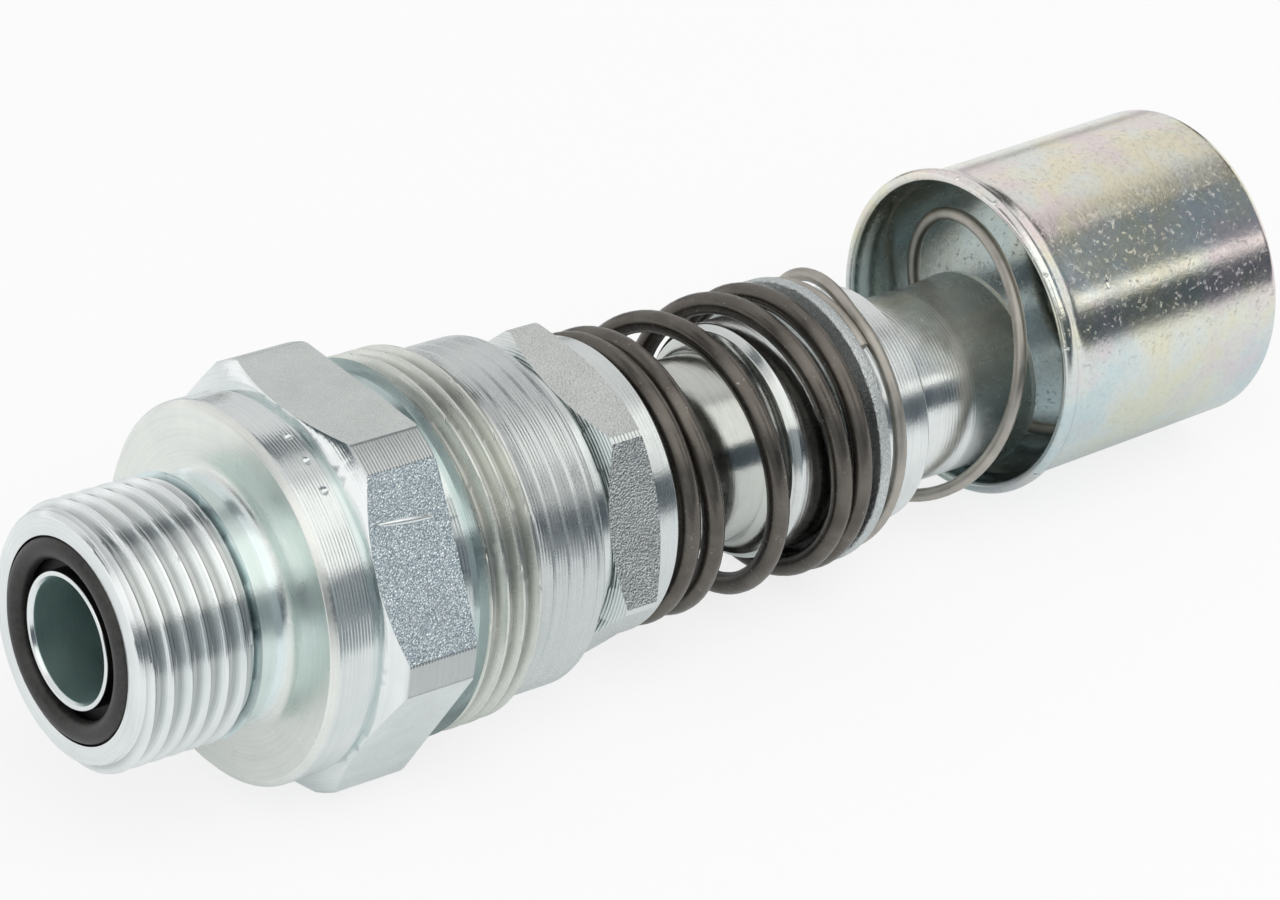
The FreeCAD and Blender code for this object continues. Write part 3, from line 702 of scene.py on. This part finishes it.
def mark_groove(piece, inner, outer, x0, x1, finish):
    """Give the walls and floor of a groove between two radii their own finish."""
    index = finish_index(piece, finish)
    for face in piece.data.polygons:
        radius = math.hypot(face.center.y, face.center.z) / MM
        if inner < radius < outer and x0 < face.center.x / MM < x1:
            face.material_index = index


def mark_raised(piece, across_flats, flat_angle, x0, x1, finish):
    """Give what stands above one flat of a hexagon its own finish."""
    index = finish_index(piece, finish)
    out = Vector((0, math.cos(math.radians(flat_angle)), math.sin(math.radians(flat_angle))))
    lowest = across_flats / 2 + FLAT_TOLERANCE
    for face in piece.data.polygons:
        if x0 < face.center.x / MM < x1 and face.center.dot(out) / MM > lowest:
            face.material_index = index


def mark_front(piece, finish):
    """Give the faces that look along +X their own finish."""
    index = finish_index(piece, finish)
    for face in piece.data.polygons:
        if face.normal.x > LOOKS_FORWARD:
            face.material_index = index


def ball(place_x, angle, radius, size, lean=0.0):
    """A small ball for marks in or on a wall. size is its reach along the axis, around and out."""
    bpy.ops.object.select_all(action="DESELECT")
    bpy.ops.mesh.primitive_uv_sphere_add(segments=24, ring_count=14, radius=MM)
    made = bpy.context.object
    made.data.transform(Matrix.Diagonal((size[0], size[2], size[1], 1)))
    made.data.transform(Matrix.Rotation(math.radians(lean), 4, "Y"))
    made.data.transform(Matrix.Translation((place_x * MM, radius * MM, 0)))
    made.data.transform(Matrix.Rotation(math.radians(angle), 4, "X"))
    return made


# Adapter: stud, flange, large hexagon, plate thread and pilot

stud_rings = int((STUD_END - STUD_START) / STUD_PITCH * THREAD_STEPS)
plate_rings = int((PLATE_END - PLATE_START) / PLATE_PITCH * THREAD_STEPS)
PILOT_RADIUS, SCRIBED_RADIUS, SCRIBED_HALF = 14.0, 13.84, 0.17
scribed = []
for ring_x in (34.3, 35.75, 37.2, 38.55):
    scribed.append((ring_x - SCRIBED_HALF, PILOT_RADIUS))
    scribed.append((ring_x, SCRIBED_RADIUS))
    scribed.append((ring_x + SCRIBED_HALF, PILOT_RADIUS))
adapter = turned(
    "adapter",
    [(0, 7.95, 0.08), (0, 9.25, 0.12)]
    + along(0.12, STUD_END, STUD_MAJOR, stud_rings)
    + [(10.3, 9.25)]
    + arc((11.9, 10.65), 1.4, -90, 0, 10)
    + [(13.3, 14.35, 0.15), (13.85, 14.9, 0.15), (16.85, 14.9, 0.12), (17.2, 14.2, 0.2)]
    + [(17.7, 14.2), (24.9, 14.2), (25.2, 13.85, 0.1), (27.3, 13.9)]
    + along(PLATE_START, PLATE_END, PLATE_MAJOR, plate_rings)
    + [(33.15, PILOT_RADIUS)]
    + scribed
    + [(39.05, PILOT_RADIUS, 0.12), (39.5, 13.5, 0.12), (39.5, 12.54)]
    + [(37.96, 12.54), (37.96, 11.05), (27.5, 11.05), (27.5, 9.8), (15.5, 9.8), (13.0, 4.75)]
    + [(0.3, 4.75, 0.15), (0, 4.95, 0.1), (0, 5.3, 0.12), (1.4, 5.3), (1.4, 7.95)],
)
large_hexagon = hexagon(
    HEX_START, HEX_LENGTH, HEX_ACROSS, HEX_CORNER, HEX_CHAMFER, HEX_TURN, both_ends=False
)
combine(adapter, large_hexagon, "UNION")
for angle in (102.7, 112.3, 122.8):
    combine(adapter, ball(16.1, angle, 15.1, (0.45, 0.45, 0.42)), "DIFFERENCE")
combine(adapter, ball(21.2, 137.9, 15.48, (2.5, 0.28, 0.3), lean=-6.0), "UNION")
cut_thread(adapter, STUD_START, STUD_END, STUD_PITCH, STUD_MAJOR, STUD_MINOR, (0.1, 1.0))
cut_thread(adapter, PLATE_START, PLATE_END, PLATE_PITCH, PLATE_MAJOR, PLATE_MINOR, (0.0, 1.1))
finish_shading(adapter)
adapter_finishes = [
    adapter_zinc, flat_zinc, bore_zinc, groove_oil_and_painted_shade, painted_light_top_flat, ridge_zinc, painted_light_low_flat,
]
dress(adapter, adapter_finishes, "adapter", ["adapter_body"])
mark_flats(adapter, HEX_ACROSS, HEX_START, HEX_LENGTH, flat_zinc, painted_light_top_flat, painted_light_low_flat)
mark_inside(adapter, 11.0, 0.2, 27.4, bore_zinc)
# The seal's groove is darkened with oil and painted shade
mark_groove(adapter, 5.25, 8.0, 0.12, 1.5, groove_oil_and_painted_shade)
mark_raised(adapter, HEX_ACROSS, FRONT_FLAT, 18.5, 24.0, ridge_zinc)

# Guide nut

nut = turned(
    "guide_nut_turned",
    [
        (27.5, 10.4), (28.1, 11.0), (39.6, 11.0), (39.6, 11.4, 0.1), (40.2, 11.97, 0.1),
        (47.9, 11.97, 0.1), (48.2, 11.7, 0.1), (48.2, 7.75, 0.1), (47.24, 7.75), (47.24, 9.05),
        (45.6, 9.05), (45.6, 7.75), (41.94, 7.75), (41.94, 8.95), (37.9, 8.95), (37.9, 7.75),
        (34.26, 7.75), (34.26, 9.68), (30.9, 9.68), (30.9, 7.75), (27.5, 7.75),
    ],
)
small_hexagon = hexagon(
    NUT_START, NUT_LENGTH, NUT_ACROSS, NUT_CORNER, NUT_CHAMFER, NUT_TURN, both_ends=True
)
combine(nut, small_hexagon, "UNION")
finish_shading(nut)
nut_finishes = [nut_zinc, nut_flat_zinc, painted_light_nut_top_flat, painted_light_low_flat]
dress(nut, nut_finishes, "adapter", ["guide_nut"])
mark_flats(nut, NUT_ACROSS, NUT_START, NUT_LENGTH, nut_flat_zinc, painted_light_nut_top_flat, painted_light_low_flat)

# Seal ring in the port's face, pressed against the groove's outer wall

SEAL_RADIUS, CORD_RADIUS, SEAL_X, GROOVE_WALL = 7.04, 0.89, 0.49, 7.88
bpy.ops.object.select_all(action="DESELECT")
bpy.ops.mesh.primitive_torus_add(
    major_radius=SEAL_RADIUS * MM,
    minor_radius=CORD_RADIUS * MM,
    major_segments=144,
    minor_segments=28,
    location=(SEAL_X * MM, 0, 0),
    rotation=(0, math.pi / 2, 0),
)
face_ring = bpy.context.object
face_ring.name = "face_ring"
bpy.ops.object.transform_apply()
for v in face_ring.data.vertices:
    radius = math.hypot(v.co.y, v.co.z) / MM
    pressed = min(radius, GROOVE_WALL) / radius
    v.co.y *= pressed
    v.co.z *= pressed
finish_shading(face_ring, 60)
dress(face_ring, [ring_rubber], "adapter", ["face_seal_ring"])

# Stem: rod, collar, neck and head

stem = turned(
    "stem_turned",
    [
        (24.4, 7.2, 0.1), (24.9, 7.7, 0.1), (26.18, 7.7), (26.18, 7.0), (27.42, 7.0),
        (27.42, 7.7), (60.3, 7.7),
    ]
    + arc((60.3, 9.3), 1.6, -90, -6, 8)
    + [
        (62.0, 9.15, 0.05), (62.5, 9.65, 0.35), (70.0, 9.65), (70.0, 9.9, 0.08), (75.6, 9.9, 0.15),
        (76.0, 9.5, 0.15), (76.0, 7.75, 0.3), (82.8, 7.75), (84.2, 7.76), (85.6, 7.80),
        (87.0, 7.91), (88.0, 8.03), (88.5, 8.1, 0.2), (HEAD_END, 8.1, 0.12), (HEAD_END, 6.24),
        (87.86, 6.24), (87.86, 5.05), (66.50, 5.05), (66.50, 4.5), (24.4, 4.5),
    ],
)
finish_shading(stem)
dress(stem, [stem_zinc], "stem_unit", ["stem"])

# Washer on the collar's step

washer = turned(
    "spring_plate", [(68.9, 9.7, 0.1), (68.9, 11.8, 0.25), (69.98, 11.8, 0.25), (69.98, 9.7, 0.1)]
)
finish_shading(washer)
dress(washer, [washer_zinc], "stem_unit", ["spring_washer"])

# Nose with the valve's seat and two holes for a pin spanner

NOSE_END = 90.32
SPANNER_REACH, SPANNER_RADIUS, SPANNER_DEPTH = 4.3, 0.6, 1.6
nose = turned(
    "nose_turned",
    [
        (66.52, 4.6), (66.92, 5.0), (89.12, 5.0), (89.12, 5.9, 0.1), (89.92, 5.9, 0.12),
        (NOSE_END, 5.5, 0.12), (NOSE_END, 2.7, 0.08), (87.52, 2.7), (86.11, 3.8), (71.12, 3.8),
        (71.12, 4.3), (70.28, 4.3), (70.28, 3.8), (66.52, 3.8),
    ],
)
for side in (-1, 1):
    bpy.ops.object.select_all(action="DESELECT")
    bpy.ops.mesh.primitive_cylinder_add(
        vertices=32,
        radius=SPANNER_RADIUS * MM,
        depth=SPANNER_DEPTH * MM,
        location=(NOSE_END * MM, side * SPANNER_REACH * MM, 0),
        rotation=(0, math.pi / 2, 0),
    )
    pin_hole = bpy.context.object
    bpy.ops.object.transform_apply()
    combine(nose, pin_hole, "DIFFERENCE")
finish_shading(nose)
dress(nose, [inner_steel], "stem_unit", ["nose_piece"])

# Springs

main_line = helix(
    MAIN_START,
    MAIN_LENGTH,
    MAIN_TURNS,
    MAIN_CLOSED,
    MAIN_WIRE,
    MAIN_ANGLE,
    RIGHT_HAND,
    lambda x: 0.0,
    lambda share: MAIN_RADIUS,
)
main_spring = coil("heavy_spring", MAIN_WIRE, main_line)
dress(main_spring, [heavy_wire], "adapter", ["compensating_spring"])
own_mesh(main_spring)


def sleeve_axis_z(x):
    return SLEEVE_LIFT + (x - HEAD_END) * math.tan(SLEEVE_TILT)


def guard_centre(x):
    """The light spring leaves the stem's axis for the sleeve's."""
    share = min(1.0, max(0.0, (x - GUARD_START) / (GUARD_FOLLOWS - GUARD_START)))
    return sleeve_axis_z(x) * share


def guard_radius(share):
    """The light spring has a waist past its closed turns, then widens to the sleeve's bore."""
    closed = GUARD_CLOSED / GUARD_TURNS
    waist = math.sin(math.pi * min(1.0, max(0.0, (share - closed) / (GUARD_WIDENS - closed))))
    flare = max(0.0, (share - GUARD_WIDENS) / (1 - GUARD_WIDENS))
    return GUARD_RADIUS - GUARD_WAIST * waist + GUARD_FLARE * flare


guard_length = GUARD_END - GUARD_START
guard_line = helix(
    GUARD_START,
    guard_length,
    GUARD_TURNS,
    GUARD_CLOSED,
    GUARD_WIRE,
    GUARD_ANGLE,
    LEFT_HAND,
    guard_centre,
    guard_radius,
)
guard_spring = coil("light_spring", GUARD_WIRE, guard_line)
dress(guard_spring, [light_wire], "stem_unit", ["guard_spring"])
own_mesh(guard_spring)

valve_length = VALVE_END - VALVE_START
valve_line = helix(
    VALVE_START,
    valve_length,
    VALVE_TURNS,
    VALVE_CLOSED,
    VALVE_WIRE,
    VALVE_ANGLE,
    RIGHT_HAND,
    lambda x: 0.0,
    lambda share: VALVE_RADIUS,
)
valve_spring = coil("poppet_spring", VALVE_WIRE, valve_line)
dress(valve_spring, [light_wire], "stem_unit", ["valve_spring"])
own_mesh(valve_spring)

# Guard sleeve

sleeve = turned(
    "guard_cup",
    arc((0.5, 13.3), 0.5, 270, 90, 10)
    + [(0.9, 13.76), (1.3, 13.55), (1.7, 13.32), (2.1, 13.22)]
    + along(2.5, 23.6, 13.2, 42)
    + arc((23.8, 12.6), 0.6, 90, 0, 6)
    + [(24.4, 11.0, 0.3), (23.4, 11.0, 0.3), (23.4, 12.2, 0.2)]
    + along(23.0, 2.3, 12.2, 40)
    + [(1.9, 12.25), (1.4, 12.42), (1.0, 12.63), (0.7, 12.76)],
)
for angle in (82.0, 101.0, 133.0, 159.0, 214.0):
    combine(sleeve, ball(0.0, angle, 13.75, (0.4, 0.22, 0.3)), "DIFFERENCE")
combine(sleeve, ball(6.2, 142.3, 13.4, (0.28, 0.55, 0.3)), "DIFFERENCE")
sleeve.data.transform(
    Matrix.Translation((HEAD_END * MM, 0, SLEEVE_LIFT * MM))
    @ Matrix.Rotation(-SLEEVE_TILT, 4, "Y")
    @ Matrix.Translation(((SLEEVE_RIM_X - HEAD_END) * MM, 0, 0))
)
finish_shading(sleeve)
dress(sleeve, [cup_zinc, cup_inside, cup_face], "sleeve", ["guard_sleeve"])
mark_inside(sleeve, 12.9, 86.0, 112.0, cup_inside, sleeve_axis_z)
mark_front(sleeve, cup_face)

# Pieces that stay as they are and get a finish

for name, finish in {
    "guide_nut_seal": ring_rubber,
    "rod_seal": ring_rubber,
    "nose_seal": ring_rubber,
    "poppet_seal": ring_rubber,
    "rod_backup_ring": seal_plastic,
    "rod_guide_ring": seal_plastic,
    "rod_wiper": wiper_plastic,
    "stop_ring": clip_wire,
    "valve_guide_clip": clip_wire,
    "valve_guide": guide_brass,
    "poppet": inner_steel,
}.items():
    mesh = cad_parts[name].data
    mesh.materials.clear()
    mesh.materials.append(finish)

# Stage: a pale floor under the hexagon and the heavy spring, and cards for the metal to mirror

FLOOR_X, FLOOR_Z, FLOOR_SLOPE = 25.0, -15.15, math.atan2(3.15, 43.0)


def shown_rays(tree, mirrored):
    """1 for rays from the camera, and a share for those from a mirror or a clear surface."""
    rays = node(tree, "ShaderNodeLightPath").outputs
    share = math_node(tree, "MAXIMUM", rays["Is Glossy Ray"], rays["Is Transmission Ray"])
    share = math_node(tree, "MULTIPLY", share, mirrored)
    return math_node(tree, "MAXIMUM", share, rays["Is Camera Ray"])


def floor_paper():
    material, tree, bsdf = shader("floor_paper")
    fibre = noise(tree, node(tree, "ShaderNodeTexCoord").outputs["Object"], 900.0)
    white = ramp(tree, fibre, [(0.0, grey(0.90)), (1.0, grey(0.94))])
    tree.links.new(white, bsdf.inputs["Base Color"])
    bsdf.inputs["Roughness"].default_value = 0.9
    bsdf.inputs["Specular IOR Level"].default_value = 0.1
    seen = node(tree, "ShaderNodeLightPath").outputs["Is Camera Ray"]
    colour = mixed(tree, seen, (0.80, 0.85, 0.86), PLAIN)
    glow = node(tree, "ShaderNodeEmission", {"Color": colour, "Strength": 1.0}).outputs[0]
    share = math_node(tree, "MULTIPLY", shown_rays(tree, 0.45), 0.8)
    both = node(tree, "ShaderNodeMixShader", {0: share, 1: bsdf.outputs[0], 2: glow})
    tree.links.new(both.outputs[0], tree.nodes["Material Output"].inputs["Surface"])
    return material


def card(name, location, aim, size, colour):
    """A plain card that only mirrors show. Its places and sizes are in metres."""
    bpy.ops.object.select_all(action="DESELECT")
    bpy.ops.mesh.primitive_plane_add(size=1, location=location)
    made = bpy.context.object
    made.name = name
    made.scale = (size[0], size[1], 1)
    made.rotation_euler = (Vector(aim) - Vector(location)).to_track_quat("-Z", "Y").to_euler()
    material, tree = shader(name)[:2]
    glow = node(tree, "ShaderNodeEmission", {"Color": (*colour, 1), "Strength": 1.0}).outputs[0]
    tree.links.new(glow, tree.nodes["Material Output"].inputs["Surface"])
    material.cycles.emission_sampling = "NONE"
    made.data.materials.append(material)
    made.visible_camera = False
    made.visible_diffuse = False
    made.visible_shadow = False


bpy.ops.object.select_all(action="DESELECT")
bpy.ops.mesh.primitive_plane_add(
    size=8.0, location=(FLOOR_X * MM, 0, FLOOR_Z * MM), rotation=(0, -FLOOR_SLOPE, 0)
)
floor = bpy.context.object
floor.name = "floor"
floor.data.materials.append(floor_paper())

# Each card: its place, the point it looks at, its width and height, and its colour
CARDS = {
    "key_card": ((0.06, -0.43, 0.61), (0.06, 0, 0), (2.0, 0.76), (1.15, 1.15, 1.12)),
    "dark_card": ((0.06, -0.2, 0.036), (0.06, 0, 0), (2.4, 0.14), (0.068, 0.086, 0.104)),
    "grey_card": ((0.06, 0.43, 0.55), (0.06, 0, 0), (2.4, 1.35), grey(0.75)),
    "rear_dark_card": ((0.66, 0.3, 0.0), (0.66, 0, 0), (1.2, 0.09), grey(0.2)),
    "cup_dark_card": (
        (0.1475, -0.0337, 0.0561), (0.1475, 0, 0), (0.056, 0.045), (0.180, 0.215, 0.250),
    ),
    "flange_dark_card": (
        (0.0605, -0.047, 0.0374), (0.0605, 0, 0), (0.013, 0.029), (0.22, 0.24, 0.26),
    ),
    "stud_soft_card": (
        (0.019, -0.0593, 0.0089), (0.019, 0, 0), (0.07, 0.040), (0.30, 0.33, 0.35),
    ),
    "stud_top_card": (
        (0.019, 0.0145, 0.0582), (0.019, 0, 0), (0.07, 0.018), (0.18, 0.20, 0.21),
    ),
    "side_dark_card": (
        (-0.396, 0.1845, 0.226), (0.018, 0, 0.015), (0.24, 0.14), (0.045, 0.065, 0.075),
    ),
    "end_dark_card": ((0.75, 0.0, 0.3), (0, 0, 0.3), (1.1, 1.1), grey(0.06)),
    "end_pale_card": ((0.74, 0.0, 0.2), (0, 0, 0.2), (0.66, 0.66), grey(0.85)),
}
for name, (location, aim, size, colour) in CARDS.items():
    card(name, location, aim, size, colour)

world = bpy.data.worlds.new("studio")
bpy.context.scene.world = world
world.use_nodes = True
studio = world.node_tree
backdrop = studio.nodes["Background"]
seen_level = {"Value": shown_rays(studio, 1.0), "To Min": 0.6, "To Max": 1.0}
level = node(studio, "ShaderNodeMapRange", seen_level)
backdrop.inputs["Color"].default_value = (1, 1, 1, 1)
studio.links.new(level.outputs[0], backdrop.inputs["Strength"])


def softbox(name, location, aim, size, power):
    """A rectangular light that mirrors don't show."""
    light = bpy.data.lights.new(name, "AREA")
    light.shape = "RECTANGLE"
    light.size, light.size_y = size
    light.energy = power
    lamp = bpy.data.objects.new(name, light)
    bpy.context.scene.collection.objects.link(lamp)
    lamp.location = location
    lamp.rotation_euler = (Vector(aim) - Vector(location)).to_track_quat("-Z", "Y").to_euler()
    lamp.visible_glossy = False


softbox("key_softbox", (0.055, -0.43, 0.61), (0.055, 0, 0), (2.0, 0.76), 5.2)

# Camera at the photograph's angle

CAMERA_PLACE = (-186.5, -263.0, 202.9)
CAMERA_RIGHT = (0.7749, -0.6223, 0.1115)
CAMERA_UP = (0.2346, 0.4469, 0.8636)
SENSOR_WIDTH, LENS = 36.0, 146.25
camera_data = bpy.data.cameras.new("camera")
camera_data.sensor_fit = "HORIZONTAL"
camera_data.sensor_width = SENSOR_WIDTH
camera_data.lens = LENS
camera_data.clip_start = 0.01
camera = bpy.data.objects.new("camera", camera_data)
bpy.context.scene.collection.objects.link(camera)
right = Vector(CAMERA_RIGHT).normalized()
up = (Vector(CAMERA_UP) - right * right.dot(Vector(CAMERA_UP))).normalized()
back = right.cross(up)
turn = Matrix((right, up, back)).transposed().to_4x4()
camera.matrix_world = Matrix.Translation(Vector(CAMERA_PLACE) * MM) @ turn
bpy.context.scene.camera = camera
bpy.context.scene.view_settings.view_transform = "Standard"
